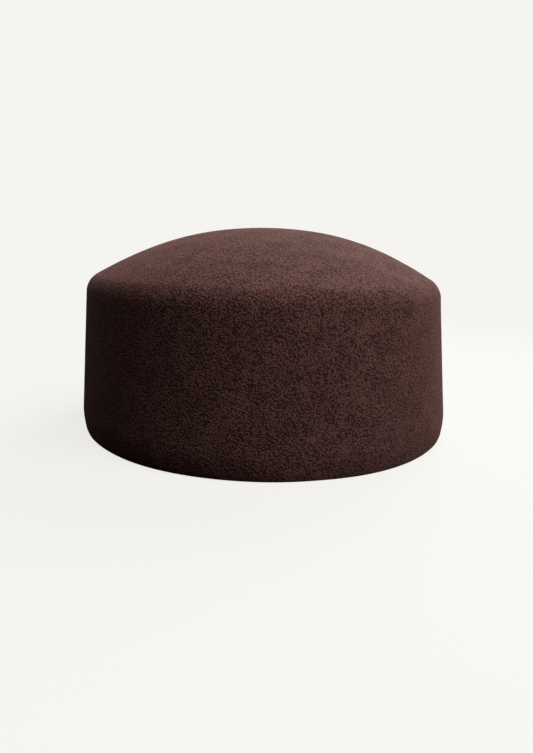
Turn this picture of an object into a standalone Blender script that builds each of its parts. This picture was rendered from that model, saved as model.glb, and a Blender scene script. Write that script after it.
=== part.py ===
# A plain round felt cap, standing on its rim: one blocked shell of thick brown wool felt, with a
# side that narrows a little upwards, a softly rounded shoulder and a low domed crown.
# Metres, +Z up. The origin is the centre of the rim, on the surface that the cap stands on.
# The front looks along -Y.

import math

import bpy
from mathutils import Vector

# Driving dimensions
HEAD_GIRTH = 0.572  # round the inside of the rim
FELT = 0.003  # thickness of the felt, the same all over
CAP_HEIGHT = 0.1025  # from the rim to the top of the crown
SIDE_HEIGHT = 0.0755  # to where the lines of the side and the crown would meet
SIDE_TAPER = 0.0063  # how much less the radius is at that height
RIM_TUCK = 0.0022  # how far the cut edge curls in from the line of the side
TUCK_HEIGHT = 0.0133  # over which it curls
EDGE_ROUND = 0.0008  # rounding of the cut edge's two corners
SHOULDER_RADIUS = 0.011
CROWN_SLOPE = math.radians(30.9)  # of the crown where it leaves the shoulder
SLOPE_REACH = 0.35  # length of the straight start of the crown, as a share of its radius
TOP_REACH = 0.415  # half width of the level top of the crown, as a share of its radius
SHOULDER_DRIFT = -0.0015  # how far the soft shell stands to one side, along X, at the shoulder
TOP_DRIFT = 0.0006  # and at the top of the crown

# Worked out from those
RIM_RADIUS = HEAD_GIRTH / (2 * math.pi) + FELT
SIDE_FOOT = RIM_RADIUS + RIM_TUCK  # radius of the side's straight line, carried down to the rim

# Places where blocking and wear have pushed the soft shell in (depth) or out (a negative depth).
# bearing is in degrees round +Z from +X, so that the front is at -90.
SOFT_PLACES = (
    {"bearing": -76, "height": 0.021, "depth": 0.0012, "half_width": 0.0105, "half_height": 0.013},
    {"bearing": -62, "height": 0.022, "depth": -0.0006, "half_width": 0.0110, "half_height": 0.014},
    {"bearing": -118, "height": 0.034, "depth": 0.0005, "half_width": 0.0160, "half_height": 0.016},
    {"bearing": 38, "height": 0.028, "depth": 0.0010, "half_width": 0.0150, "half_height": 0.014},
    {"bearing": 121, "height": 0.040, "depth": 0.0008, "half_width": 0.0190, "half_height": 0.017},
    {"bearing": 8, "height": 0.079, "depth": -0.0006, "half_width": 0.0340, "half_height": 0.0075},
)
# Slow waves round the side: lobes is how many there are, size how far they reach.
WAVES = (
    {"lobes": 4, "size": 0.00018, "turn": 20},
    {"lobes": 6, "size": 0.00014, "turn": 75},
    {"lobes": 10, "size": 0.00009, "turn": 140},
)

# How finely the faces follow the shape
STEPS_ROUND = 96
SIDE_ROWS = 9
SHOULDER_ROWS = 6
CROWN_ROWS = 11
EDGE_ROWS = 3

FELT_COLOUR = (0.078, 0.036, 0.030, 1)
FELT_ROUGHNESS = 0.95


def clear_scene():
    for obj in list(bpy.data.objects):
        bpy.data.objects.remove(obj, do_unlink=True)


def side_radius(height):
    """Radius of the outside of the side at a height over the rim."""
    curl = max(0, 1 - height / TUCK_HEIGHT)
    return SIDE_FOOT - SIDE_TAPER * height / SIDE_HEIGHT - RIM_TUCK * curl**2


def outer_line():
    """The outside in section, from the rim up to the top of the crown, with radius as x and height as y."""
    corner = Vector((SIDE_FOOT - SIDE_TAPER, SIDE_HEIGHT))
    up_side = Vector((-SIDE_TAPER, SIDE_HEIGHT)).normalized()
    up_crown = Vector((-math.cos(CROWN_SLOPE), math.sin(CROWN_SLOPE)))
    turn = up_side.angle(up_crown)
    setback = SHOULDER_RADIUS * math.tan(turn / 2)
    shoulder_start = corner - up_side * setback
    shoulder_end = corner + up_crown * setback

    line = []
    for row in range(SIDE_ROWS):
        # Rows lie closer together near the rim, where the side curls in.
        height = shoulder_start.y * (row / SIDE_ROWS) ** 1.6
        line.append(Vector((side_radius(height), height)))

    centre = shoulder_start + Vector((-up_side.y, up_side.x)) * SHOULDER_RADIUS
    start_angle = math.atan2(*reversed(shoulder_start - centre))
    for row in range(SHOULDER_ROWS):
        angle = start_angle + turn * row / SHOULDER_ROWS
        line.append(centre + SHOULDER_RADIUS * Vector((math.cos(angle), math.sin(angle))))

    top = Vector((0, CAP_HEIGHT))
    slope_end = shoulder_end + up_crown * SLOPE_REACH * shoulder_end.x
    top_edge = top + Vector((TOP_REACH * shoulder_end.x, 0))
    for row in range(CROWN_ROWS + 1):
        t = row / CROWN_ROWS
        line.append(
            (1 - t) ** 3 * shoulder_end
            + 3 * (1 - t) ** 2 * t * slope_end
            + 3 * (1 - t) * t**2 * top_edge
            + t**3 * top
        )
    return line


def inner_line(outer):
    """The inside in section: the outer line set in by the felt's thickness, square to it."""
    line = []
    for i, point in enumerate(outer):
        along = outer[min(i + 1, len(outer) - 1)] - outer[max(i - 1, 0)]
        inwards = Vector((-along.y, along.x)).normalized()
        if i in (0, len(outer) - 1):  # level at the rim, upright on the axis
            inwards = Vector((-1, 0)) if i == 0 else Vector((0, -1))
        line.append(point + inwards * FELT)
    return line


def rounded_edge(start, end):
    """The cut edge from the outside to the inside: a flat foot between two rounded corners."""
    outer_middle = start + Vector((-EDGE_ROUND, EDGE_ROUND))
    inner_middle = end + Vector((EDGE_ROUND, EDGE_ROUND))
    line = []
    for middle, first_angle in ((outer_middle, 0), (inner_middle, -90)):
        for row in range(EDGE_ROWS + 1):
            angle = math.radians(first_angle - 90 * row / EDGE_ROWS)
            line.append(middle + EDGE_ROUND * Vector((math.cos(angle), math.sin(angle))))
    return line


def section():
    """The closed section of the felt, down the outside, across the rim and up the inside."""
    outer = outer_line()
    inner = inner_line(outer)
    edge = rounded_edge(outer[0], inner[0])
    return list(reversed(outer[1:])) + edge + inner[1:]


def turned_shell(name, line):
    """The section turned round +Z, as a closed mesh."""
    mesh = bpy.data.meshes.new(name)
    mesh.from_pydata([(p.x, 0, p.y) for p in line], [(i, i + 1) for i in range(len(line) - 1)], [])
    turned = bpy.data.objects.new(name + "_section", mesh)
    bpy.context.scene.collection.objects.link(turned)
    screw = turned.modifiers.new("turn", "SCREW")
    screw.steps = screw.render_steps = STEPS_ROUND
    screw.use_merge_vertices = True
    screw.merge_threshold = 0.00001
    graph = bpy.context.evaluated_depsgraph_get()
    shell = bpy.data.meshes.new_from_object(turned.evaluated_get(graph))
    bpy.data.objects.remove(turned, do_unlink=True)
    return shell


def pushed_in(angle, radius, height):
    """How far the soft places and the waves take a point of the side in."""
    depth = 0
    for place in SOFT_PLACES:
        turn = angle - math.radians(place["bearing"])
        across = math.remainder(turn, 2 * math.pi) * radius / place["half_width"]
        up = (height - place["height"]) / place["half_height"]
        depth += place["depth"] * math.exp(-(across**2 + up**2) / 2)
    for wave in WAVES:
        depth += wave["size"] * math.sin(wave["lobes"] * (angle - math.radians(wave["turn"])))
    return depth


def drift(height):
    """How far the shell stands to one side at a height."""
    if height < SIDE_HEIGHT:
        return SHOULDER_DRIFT * height / SIDE_HEIGHT
    share = (height - SIDE_HEIGHT) / (CAP_HEIGHT - SIDE_HEIGHT)
    return SHOULDER_DRIFT + (TOP_DRIFT - SHOULDER_DRIFT) * share


def soften(shell):
    """Takes the turned shell out of true, as soft felt is, with its rim still level."""
    for vertex in shell.vertices:
        x, y, height = vertex.co
        radius = math.hypot(x, y)
        if radius > 0:
            angle = math.atan2(y, x)
            # The pushes die away over the crown, towards the axis.
            share = min(1, (radius / SIDE_FOOT) ** 3)
            scale = 1 - share * pushed_in(angle, radius, height) / radius
            x, y = x * scale, y * scale
        vertex.co = (x + drift(height), y, height)


def felt_material():
    material = bpy.data.materials.new("brown_wool_felt")
    material.use_nodes = True
    shader = material.node_tree.nodes["Principled BSDF"]
    shader.inputs["Base Color"].default_value = FELT_COLOUR
    shader.inputs["Roughness"].default_value = FELT_ROUGHNESS
    shader.inputs["Metallic"].default_value = 0
    return material


def make_cap():
    shell = turned_shell("felt_cap", section())
    soften(shell)
    shell.materials.append(felt_material())
    shell.shade_smooth()
    shell.set_sharp_from_angle(angle=math.radians(40))
    cap = bpy.data.objects.new("felt_cap", shell)
    collection = bpy.data.collections.new("cap")
    bpy.context.scene.collection.children.link(collection)
    collection.objects.link(cap)
    return cap


clear_scene()
make_cap()
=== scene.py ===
import math

import bpy
import numpy as np
from mathutils import Matrix, Vector


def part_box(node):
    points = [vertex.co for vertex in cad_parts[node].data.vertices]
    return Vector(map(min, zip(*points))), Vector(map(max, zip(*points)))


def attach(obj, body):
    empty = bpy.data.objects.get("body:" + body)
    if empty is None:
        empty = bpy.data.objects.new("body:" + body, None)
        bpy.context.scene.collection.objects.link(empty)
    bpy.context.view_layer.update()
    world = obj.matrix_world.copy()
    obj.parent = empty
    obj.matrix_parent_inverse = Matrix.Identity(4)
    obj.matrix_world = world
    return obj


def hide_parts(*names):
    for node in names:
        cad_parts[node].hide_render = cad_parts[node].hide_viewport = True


# A plain round cap of thick brown wool felt, blocked in one piece, standing on its cut rim.
# Metres, +Z up, the front along -Y. The shell is turned from its section by Geometry Nodes.

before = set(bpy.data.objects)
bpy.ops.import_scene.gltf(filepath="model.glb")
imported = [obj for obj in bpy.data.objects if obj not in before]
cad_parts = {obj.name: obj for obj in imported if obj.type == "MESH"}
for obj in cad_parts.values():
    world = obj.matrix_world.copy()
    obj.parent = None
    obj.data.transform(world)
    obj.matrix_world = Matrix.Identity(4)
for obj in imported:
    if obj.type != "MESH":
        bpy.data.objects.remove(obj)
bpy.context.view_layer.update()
capLow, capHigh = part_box("felt_cap")
print("frame loaded")


def linearColour(hexText):
    channels = [int(hexText[i:i + 2], 16) / 255 for i in (1, 3, 5)]
    return tuple(c / 12.92 if c <= 0.04045 else ((c + 0.055) / 1.055) ** 2.4 for c in channels) + (1,)


def addNode(tree, kind, inputs=None, **settings):
    # inputs goes by socket name or number: a socket is linked, anything else is its value
    node = tree.nodes.new(kind)
    for name, value in settings.items():
        setattr(node, name, value)
    for key, value in (inputs or {}).items():
        if isinstance(value, bpy.types.NodeSocket):
            tree.links.new(value, node.inputs[key])
        else:
            node.inputs[key].default_value = value
    return node


# Felt

feltGrain = {
    "knot": 0.00078,  # from one knot of fibres to the next
    "stroke": 0.00015,  # how far a fibre bundle draws each knot out
    "lean": math.radians(38),  # of the bundles, down to the right on the outside
    "fuzz": 0.00045,  # single fibres, drawn far coarser than wool's 0.02 mm so that they show
    "mottle": 0.009,  # patches where the felt took the dye and the press unevenly
    "relief": 0.00035,
}


def bundledKnots(tree, place, grain):
    # cells drawn out along the surface, so that the knots lie as short leaning strokes
    face = addNode(tree, "ShaderNodeNewGeometry").outputs["Normal"]
    across = addNode(tree, "ShaderNodeVectorMath", {0: (0, 0, 1), 1: face}, operation="CROSS_PRODUCT").outputs[0]
    across = addNode(tree, "ShaderNodeVectorMath", {0: across}, operation="NORMALIZE").outputs[0]
    up = addNode(tree, "ShaderNodeVectorMath", {0: face, 1: across}, operation="CROSS_PRODUCT").outputs[0]
    across = addNode(tree, "ShaderNodeVectorMath", {
        0: across, "Scale": grain["stroke"] * math.cos(grain["lean"])}, operation="SCALE").outputs[0]
    down = (-grain["stroke"] * math.sin(grain["lean"]),) * 3
    step = addNode(tree, "ShaderNodeVectorMath", {0: up, 1: down, 2: across}, operation="MULTIPLY_ADD").outputs[0]
    total = 1.0
    for k in (-1, 0, 1):
        at = addNode(tree, "ShaderNodeVectorMath", {0: step, 1: (k, k, k), 2: place}, operation="MULTIPLY_ADD")
        knots = addNode(tree, "ShaderNodeTexVoronoi", {"Vector": at.outputs[0], "Scale": 1 / grain["knot"]})
        total = addNode(tree, "ShaderNodeMath", {
            0: knots.outputs["Distance"], 1: -1 / 3, 2: total}, operation="MULTIPLY_ADD").outputs[0]
    return total


def woolFelt(name, pitShadeHex, bodyHex, tipHighlightHex, grain):
    # Wool felt: wetted, rolled and blocked fibres, with no weave. It is matt and pebbly with knots, and its nap
    # catches the light at grazing angles. Its colour darkens in the pits between knots as painted shade
    # and lightens on the fibre tips as painted highlight.
    material = bpy.data.materials.new(name)
    material.use_nodes = True
    tree = material.node_tree
    shader = tree.nodes["Principled BSDF"]
    place = addNode(tree, "ShaderNodeTexCoord").outputs["Object"]

    knots = bundledKnots(tree, place, grain)
    fuzz = addNode(tree, "ShaderNodeTexNoise", {
        "Vector": place, "Scale": 1 / grain["fuzz"], "Detail": 1.0, "Roughness": 0.6, "Distortion": 0.6})
    mottle = addNode(tree, "ShaderNodeTexNoise", {
        "Vector": place, "Scale": 1 / grain["mottle"], "Detail": 2.5, "Roughness": 0.55})
    height = addNode(tree, "ShaderNodeMath", {0: fuzz.outputs[0], 1: 0.22, 2: knots},
                     operation="MULTIPLY_ADD").outputs[0]
    shade = addNode(tree, "ShaderNodeMath", {0: mottle.outputs[0], 1: 0.45, 2: height},
                    operation="MULTIPLY_ADD").outputs[0]
    # the inside was never brushed and stays darker, and the cut edge is rubbed lighter
    inside = addNode(tree, "ShaderNodeAttribute", attribute_name="insideFelt").outputs["Fac"]
    shade = addNode(tree, "ShaderNodeMath", {0: inside, 1: -0.05, 2: shade}, operation="MULTIPLY_ADD").outputs[0]
    low = addNode(tree, "ShaderNodeSeparateXYZ", {0: place}).outputs["Z"]
    rubbed = addNode(tree, "ShaderNodeMapRange", {
        "Value": low, "From Min": 0.0035, "From Max": 0.0, "To Min": 0.0, "To Max": 0.06})
    shade = addNode(tree, "ShaderNodeMath", {0: shade, 1: rubbed.outputs[0]}, operation="ADD").outputs[0]
    # the knots' height sets the colour: painted shade in the pits and painted highlight on the fibre tips; the dye
    # mottle, the darker inside and the rubbed edge are the felt's own tone
    ramp = addNode(tree, "ShaderNodeValToRGB", {"Fac": shade})
    ends = ramp.color_ramp.elements
    ends[0].position, ends[0].color = 0.62, linearColour(pitShadeHex)
    ends[1].position, ends[1].color = 1.00, linearColour(tipHighlightHex)
    middle = ends.new(0.82)
    middle.color = linearColour(bodyHex)
    tree.links.new(ramp.outputs["Color"], shader.inputs["Base Color"])

    bump = addNode(tree, "ShaderNodeBump", {"Height": height, "Strength": 1.0, "Distance": grain["relief"]})
    tree.links.new(bump.outputs["Normal"], shader.inputs["Normal"])
    shader.inputs["Roughness"].default_value = 0.92
    shader.inputs["IOR"].default_value = 1.5
    shader.inputs["Specular IOR Level"].default_value = 0.08
    shader.inputs["Sheen Weight"].default_value = 0.25
    shader.inputs["Sheen Roughness"].default_value = 0.45
    shader.inputs["Sheen Tint"].default_value = linearColour("#c99a91")
    return material


# pit colour carrying painted shade, body colour, tip colour carrying painted highlight
outerFelt = woolFelt("blocked_wool_felt", "#372421", "#4f3430", "#6c4842", feltGrain)
print("materials made")


# Shell

cap = {
    "headGirth": 0.572,  # round the inside of the rim
    "felt": 0.003,
    "sideHeight": 0.0755,  # to where the lines of the side and the crown would meet
    "sideTaper": 0.0063,
    "rimTuck": 0.0022,
    "tuckHeight": 0.0133,
    "edgeRound": 0.0008,
    "shoulderRadius": 0.011,
    "crownSlope": math.radians(30.9),
    "slopeReach": 0.35,  # shares of the crown's radius
    "topReach": 0.415,
    "shoulderDrift": -0.0015,
    "topDrift": 0.0006,
    "stepsRound": 440,
    "outerRow": 0.00115,  # spacing of the rows of the mesh
    "innerRow": 0.0026,
    "edgeRow": 0.0004,
}
softPlaces = (
    {"bearing": -76, "height": 0.021, "depth": 0.0012, "halfWidth": 0.0105, "halfHeight": 0.013},
    {"bearing": -62, "height": 0.022, "depth": -0.0006, "halfWidth": 0.0110, "halfHeight": 0.014},
    {"bearing": -118, "height": 0.034, "depth": 0.0005, "halfWidth": 0.0160, "halfHeight": 0.016},
    {"bearing": 38, "height": 0.028, "depth": 0.0010, "halfWidth": 0.0150, "halfHeight": 0.014},
    {"bearing": 121, "height": 0.040, "depth": 0.0008, "halfWidth": 0.0190, "halfHeight": 0.017},
    {"bearing": 8, "height": 0.079, "depth": -0.0006, "halfWidth": 0.0340, "halfHeight": 0.0075},
)
slowWaves = (
    {"lobes": 4, "size": 0.00018, "turn": 20},
    {"lobes": 6, "size": 0.00014, "turn": 75},
    {"lobes": 10, "size": 0.00009, "turn": 140},
)
rimRadius = cap["headGirth"] / (2 * math.pi) + cap["felt"]
sideFoot = rimRadius + cap["rimTuck"]


def arcPoints(middle, radius, start, turn, steps):
    angles = start + turn * np.linspace(0, 1, steps + 1)
    return np.stack([middle[0] + radius * np.cos(angles), middle[1] + radius * np.sin(angles)], 1)


def spaced(line, spacing):
    # the same line with points at an even spacing, both ends kept
    run = np.concatenate([[0], np.cumsum(np.linalg.norm(np.diff(line, axis=0), axis=1))])
    at = np.linspace(0, run[-1], max(2, round(run[-1] / spacing) + 1))
    return np.stack([np.interp(at, run, line[:, k]) for k in (0, 1)], 1)


def outerLine():
    # outside of the felt in section, radius and height, from the rim to the top of the crown
    upSide = Vector((-cap["sideTaper"], cap["sideHeight"])).normalized()
    upCrown = Vector((-math.cos(cap["crownSlope"]), math.sin(cap["crownSlope"])))
    corner = Vector((sideFoot - cap["sideTaper"], cap["sideHeight"]))
    turn = upSide.angle(upCrown)
    setback = cap["shoulderRadius"] * math.tan(turn / 2)
    start, end = corner - upSide * setback, corner + upCrown * setback

    height = np.linspace(0, start.y, 60)
    curl = np.clip(1 - height / cap["tuckHeight"], 0, None)
    radius = sideFoot - cap["sideTaper"] * height / cap["sideHeight"] - cap["rimTuck"] * curl**2
    side = np.stack([radius, height], 1)

    centre = start + Vector((-upSide.y, upSide.x)) * cap["shoulderRadius"]
    out = start - centre
    shoulder = arcPoints(centre, cap["shoulderRadius"], math.atan2(out.y, out.x), turn, 24)

    top = np.array([0, capHigh.z])
    first = np.array(end)
    second = first + np.array(upCrown) * cap["slopeReach"] * end.x
    third = top + np.array([cap["topReach"] * end.x, 0])
    t = np.linspace(0, 1, 80)[:, None]
    crown = (1 - t)**3 * first + 3 * (1 - t)**2 * t * second + 3 * (1 - t) * t**2 * third + t**3 * top
    return np.concatenate([side, shoulder[1:], crown[1:]])


def innerLine(outer):
    along = np.gradient(outer, axis=0)
    inwards = np.stack([-along[:, 1], along[:, 0]], 1)
    inwards /= np.linalg.norm(inwards, axis=1)[:, None]
    inwards[0], inwards[-1] = (-1, 0), (0, -1)
    return outer + inwards * cap["felt"]


def sectionPoints():
    # rows of the mesh, down the outside, across the cut edge and up the inside, and where the inside starts
    outer = outerLine()
    inner = innerLine(outer)
    r = cap["edgeRound"]
    edge = np.concatenate([
        arcPoints(outer[0] + (-r, r), r, 0, -math.pi / 2, 8),
        arcPoints(inner[0] + (r, r), r, -math.pi / 2, -math.pi / 2, 8)])
    above = [line[line[:, 1] > r] for line in (outer, inner)]
    down = spaced(np.concatenate([edge[:1], above[0]])[::-1], cap["outerRow"])
    foot = spaced(edge, cap["edgeRow"])
    up = spaced(np.concatenate([edge[-1:], above[1]]), cap["innerRow"])
    return np.concatenate([down, foot[1:], up[1:]]), len(down) + len(foot) // 2


def sectionObject(points):
    mesh = bpy.data.meshes.new("feltSection")
    mesh.from_pydata([(r, 0, z) for r, z in points], [(i, i + 1) for i in range(len(points) - 1)], [])
    section = bpy.data.objects.new("feltSection", mesh)
    bpy.context.scene.collection.objects.link(section)
    return section


def addMath(tree, operation, *values):
    return addNode(tree, "ShaderNodeMath", dict(enumerate(values)), operation=operation).outputs[0]


def pushDepth(tree, angle, radius, height):
    # how far soft places and slow waves take a point in, towards the axis
    depth = 0.0
    for place in softPlaces:
        turn = addMath(tree, "SUBTRACT", angle, math.radians(place["bearing"]))
        turn = addMath(tree, "WRAP", turn, math.pi, -math.pi)
        across = addMath(tree, "MULTIPLY", turn, addMath(tree, "DIVIDE", radius, place["halfWidth"]))
        up = addMath(tree, "DIVIDE", addMath(tree, "SUBTRACT", height, place["height"]), place["halfHeight"])
        away = addMath(tree, "MULTIPLY_ADD", across, across, addMath(tree, "MULTIPLY", up, up))
        bell = addMath(tree, "EXPONENT", addMath(tree, "MULTIPLY", away, -0.5))
        depth = addMath(tree, "MULTIPLY_ADD", bell, place["depth"], depth)
    for wave in slowWaves:
        turn = addMath(tree, "SUBTRACT", angle, math.radians(wave["turn"]))
        swing = addMath(tree, "SINE", addMath(tree, "MULTIPLY", turn, wave["lobes"]))
        depth = addMath(tree, "MULTIPLY_ADD", swing, wave["size"], depth)
    return depth


def newTree(name, inputs):
    tree = bpy.data.node_groups.new(name, "GeometryNodeTree")
    tree.interface.new_socket("Geometry", in_out="INPUT", socket_type="NodeSocketGeometry")
    for label, kind in inputs:
        tree.interface.new_socket(label, in_out="INPUT", socket_type="NodeSocket" + kind)
    tree.interface.new_socket("Geometry", in_out="OUTPUT", socket_type="NodeSocketGeometry")
    return tree, tree.nodes.new("NodeGroupInput").outputs


def shellTree():
    tree, given = newTree("feltShell", (
        ("Section", "Object"), ("Steps Round", "Int"), ("Rows", "Int"), ("Inside Row", "Int"),
        ("Lump Height", "Float"), ("Lump Size", "Float"), ("Felt", "Material")))
    grid = addNode(tree, "GeometryNodeMeshGrid", {
        "Size X": 2 * math.pi, "Size Y": 1.0, "Vertices X": given["Steps Round"], "Vertices Y": given["Rows"]})
    index = addNode(tree, "GeometryNodeInputIndex").outputs[0]
    row = addMath(tree, "MODULO", index, given["Rows"])
    flat = addNode(tree, "ShaderNodeSeparateXYZ", {0: addNode(tree, "GeometryNodeInputPosition").outputs[0]})
    angle = flat.outputs["X"]

    section = addNode(tree, "GeometryNodeObjectInfo", {"Object": given["Section"]})
    point = addNode(tree, "GeometryNodeSampleIndex", {
        "Geometry": section.outputs["Geometry"], "Index": row}, data_type="FLOAT_VECTOR", clamp=True)
    tree.links.new(addNode(tree, "GeometryNodeInputPosition").outputs[0], point.inputs["Value"])
    onLine = addNode(tree, "ShaderNodeSeparateXYZ", {0: point.outputs[0]})
    radius, height = onLine.outputs["X"], onLine.outputs["Z"]

    # pushes die away over the crown, towards the axis
    reach = addMath(tree, "DIVIDE", radius, sideFoot)
    share = addMath(tree, "MINIMUM", addMath(tree, "POWER", reach, 3.0), 1.0)
    depth = addMath(tree, "MULTIPLY", share, pushDepth(tree, angle, radius, height))
    pushed = addMath(tree, "SUBTRACT", radius, depth)

    lowDrift = addNode(tree, "ShaderNodeMapRange", {
        "Value": height, "From Min": 0.0, "From Max": cap["sideHeight"],
        "To Min": 0.0, "To Max": cap["shoulderDrift"]})
    highDrift = addNode(tree, "ShaderNodeMapRange", {
        "Value": height, "From Min": cap["sideHeight"], "From Max": capHigh.z,
        "To Min": 0.0, "To Max": cap["topDrift"] - cap["shoulderDrift"]})
    drift = addMath(tree, "ADD", lowDrift.outputs[0], highDrift.outputs[0])
    x = addMath(tree, "MULTIPLY_ADD", pushed, addMath(tree, "COSINE", angle), drift)
    y = addMath(tree, "MULTIPLY", pushed, addMath(tree, "SINE", angle))
    turned = addNode(tree, "ShaderNodeCombineXYZ", {0: x, 1: y, 2: height})

    inside = addMath(tree, "GREATER_THAN", row, given["Inside Row"])
    marked = addNode(tree, "GeometryNodeStoreNamedAttribute", {
        "Geometry": grid.outputs["Mesh"], "Name": "insideFelt", "Value": inside}, data_type="FLOAT")
    shaped = addNode(tree, "GeometryNodeSetPosition", {
        "Geometry": marked.outputs[0], "Position": turned.outputs[0]})
    closed = addNode(tree, "GeometryNodeMergeByDistance", {"Geometry": shaped.outputs[0], "Distance": 0.000005})

    # low lumps of uneven felt, none at the foot
    place = addNode(tree, "GeometryNodeInputPosition").outputs[0]
    broad = addNode(tree, "ShaderNodeTexNoise", {
        "Vector": place, "Scale": addMath(tree, "DIVIDE", 1.0, given["Lump Size"]), "Detail": 2.0, "Roughness": 0.6})
    lift = addMath(tree, "MULTIPLY", addMath(tree, "SUBTRACT", broad.outputs[0], 0.5), given["Lump Height"])
    up = addNode(tree, "ShaderNodeSeparateXYZ", {0: place}).outputs["Z"]
    offFoot = addNode(tree, "ShaderNodeMapRange", {
        "Value": up, "From Min": 0.0003, "From Max": 0.003}, interpolation_type="SMOOTHSTEP")
    lift = addMath(tree, "MULTIPLY", lift, offFoot.outputs[0])
    outwards = addNode(tree, "ShaderNodeVectorMath", {
        0: addNode(tree, "GeometryNodeInputNormal").outputs[0], "Scale": lift}, operation="SCALE")
    lumpy = addNode(tree, "GeometryNodeSetPosition", {
        "Geometry": closed.outputs[0], "Offset": outwards.outputs[0]})

    smooth = addNode(tree, "GeometryNodeSetShadeSmooth", {"Geometry": lumpy.outputs[0]})
    whole = addNode(tree, "GeometryNodeRealizeInstances", {"Geometry": smooth.outputs[0]})
    finished = addNode(tree, "GeometryNodeSetMaterial", {"Geometry": whole.outputs[0], "Material": given["Felt"]})
    addNode(tree, "NodeGroupOutput", {0: finished.outputs[0]})
    return tree


def grown(name, base, tree, values):
    # the tree's result on a copy of the base mesh, as a plain mesh object at the origin
    host = bpy.data.objects.new(name + "Host", base)
    bpy.context.scene.collection.objects.link(host)
    modifier = host.modifiers.new(name, "NODES")
    modifier.node_group = tree
    sockets = {item.name: item.identifier for item in tree.interface.items_tree if item.in_out == "INPUT"}
    for label, value in values.items():
        modifier[sockets[label]] = value
    graph = bpy.context.evaluated_depsgraph_get()
    mesh = bpy.data.meshes.new_from_object(host.evaluated_get(graph))
    bpy.data.objects.remove(host, do_unlink=True)
    mesh.name = name
    piece = bpy.data.objects.new(name, mesh)
    bpy.context.scene.collection.objects.link(piece)
    return piece


rows, insideRow = sectionPoints()
section = sectionObject(rows)
shell = grown("feltShell", bpy.data.meshes.new("empty"), shellTree(), {
    "Section": section, "Steps Round": cap["stepsRound"] + 1, "Rows": len(rows), "Inside Row": insideRow,
    "Lump Height": 0.00020, "Lump Size": 0.007, "Felt": outerFelt})
bpy.data.objects.remove(section, do_unlink=True)
shell.data.calc_loop_triangles()
print("shell", len(shell.data.vertices), "points", len(shell.data.loop_triangles), "triangles")
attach(shell, "root")
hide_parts("felt_cap")


# Stage

stage = {
    "reach": 6.0,
    "pale": "#f5f4f0",
    "ambient": 0.01,
}


def paleFloor():
    mesh = bpy.data.meshes.new("paleFloor")
    r = stage["reach"]
    mesh.from_pydata([(-r, -r, 0), (r, -r, 0), (r, r, 0), (-r, r, 0)], [], [(0, 1, 2, 3)])
    floor = bpy.data.objects.new("paleFloor", mesh)
    bpy.context.scene.collection.objects.link(floor)
    material = bpy.data.materials.new("seamless_paper")
    material.use_nodes = True
    tree = material.node_tree
    tree.nodes.clear()
    place = addNode(tree, "ShaderNodeTexCoord").outputs["Object"]
    away = addNode(tree, "ShaderNodeVectorMath", {0: place}, operation="LENGTH").outputs["Value"]
    glow = addNode(tree, "ShaderNodeEmission", {"Color": linearColour(stage["pale"]), "Strength": 1.0})
    paper = addNode(tree, "ShaderNodeBsdfDiffuse", {"Color": linearColour(stage["pale"])})
    share = addNode(tree, "ShaderNodeMapRange", {
        "Value": away, "From Min": 0.10, "From Max": 0.6, "To Min": 0.88, "To Max": 1.0},
        interpolation_type="SMOOTHSTEP")
    mix = addNode(tree, "ShaderNodeMixShader", {0: share.outputs[0], 1: paper.outputs[0], 2: glow.outputs[0]})
    addNode(tree, "ShaderNodeOutputMaterial", {0: mix.outputs[0]})
    mesh.materials.append(material)
    floor.visible_diffuse = False
    floor.visible_glossy = False
    return floor


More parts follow.
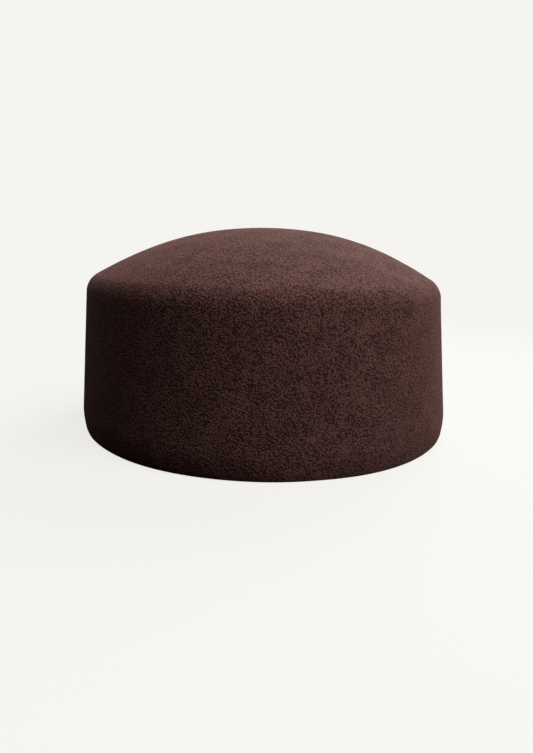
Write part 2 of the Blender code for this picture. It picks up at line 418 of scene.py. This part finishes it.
def paleWorld():
    world = bpy.data.worlds.new("studio")
    bpy.context.scene.world = world
    world.use_nodes = True
    tree = world.node_tree
    tree.nodes.clear()
    seen = addNode(tree, "ShaderNodeBackground", {"Color": linearColour(stage["pale"]), "Strength": 1.0})
    lit = addNode(tree, "ShaderNodeBackground", {"Color": (1, 1, 1, 1), "Strength": stage["ambient"]})
    ray = addNode(tree, "ShaderNodeLightPath").outputs["Is Camera Ray"]
    mix = addNode(tree, "ShaderNodeMixShader", {0: ray, 1: lit.outputs[0], 2: seen.outputs[0]})
    addNode(tree, "ShaderNodeOutputWorld", {0: mix.outputs[0]})


lights = (
    {"name": "keyTop", "from": (0.348, -0.292, 0.891), "away": 0.9, "size": 0.6, "watts": 4.0},
    {"name": "keySide", "from": (0.709, -0.410, 0.574), "away": 0.9, "size": 0.6, "watts": 3.6},
    {"name": "front", "from": (0.0, -0.574, 0.819), "away": 0.9, "size": 0.6, "watts": 1.0},
    {"name": "back", "from": (0.377, 0.654, 0.656), "away": 0.9, "size": 0.6, "watts": 8.2},
    {"name": "leftEdge", "from": (-0.69, 0.69, 0.21), "away": 0.9, "size": 0.4, "watts": 0.5},
)


def softLight(name, towards, away, size, watts):
    data = bpy.data.lights.new(name, "AREA")
    data.shape = "DISK"
    data.size = size
    data.energy = watts
    light = bpy.data.objects.new(name, data)
    light.visible_camera = False
    bpy.context.scene.collection.objects.link(light)
    direction = Vector(towards).normalized()
    middle = Vector((0, 0, capHigh.z / 2))
    light.location = middle + direction * away
    light.rotation_euler = direction.to_track_quat("Z", "Y").to_euler()
    return light


view = {
    "place": (0, -0.328, 0.0962),
    "pitch": math.radians(12.504),  # downwards
    "yaw": 0.003,
    "roll": math.radians(1.317),
    "focalPixels": 613.7,
    "framePixels": 753,  # the photograph's long side
    "sensor": 36.0,
}


def photoCamera():
    data = bpy.data.cameras.new("photoCamera")
    data.sensor_width = view["sensor"]
    data.lens = view["focalPixels"] / view["framePixels"] * view["sensor"]
    data.clip_start = 0.01
    camera = bpy.data.objects.new("photoCamera", data)
    bpy.context.scene.collection.objects.link(camera)
    turn = (Matrix.Rotation(-view["yaw"], 4, "Z") @ Matrix.Rotation(math.pi / 2 - view["pitch"], 4, "X")
            @ Matrix.Rotation(view["roll"], 4, "Z"))
    camera.matrix_world = Matrix.Translation(view["place"]) @ turn
    bpy.context.scene.camera = camera


paleFloor()
paleWorld()
for light in lights:
    softLight(light["name"], light["from"], light["away"], light["size"], light["watts"])
photoCamera()
bpy.context.scene.view_settings.view_transform = "Standard"
print("stage set")
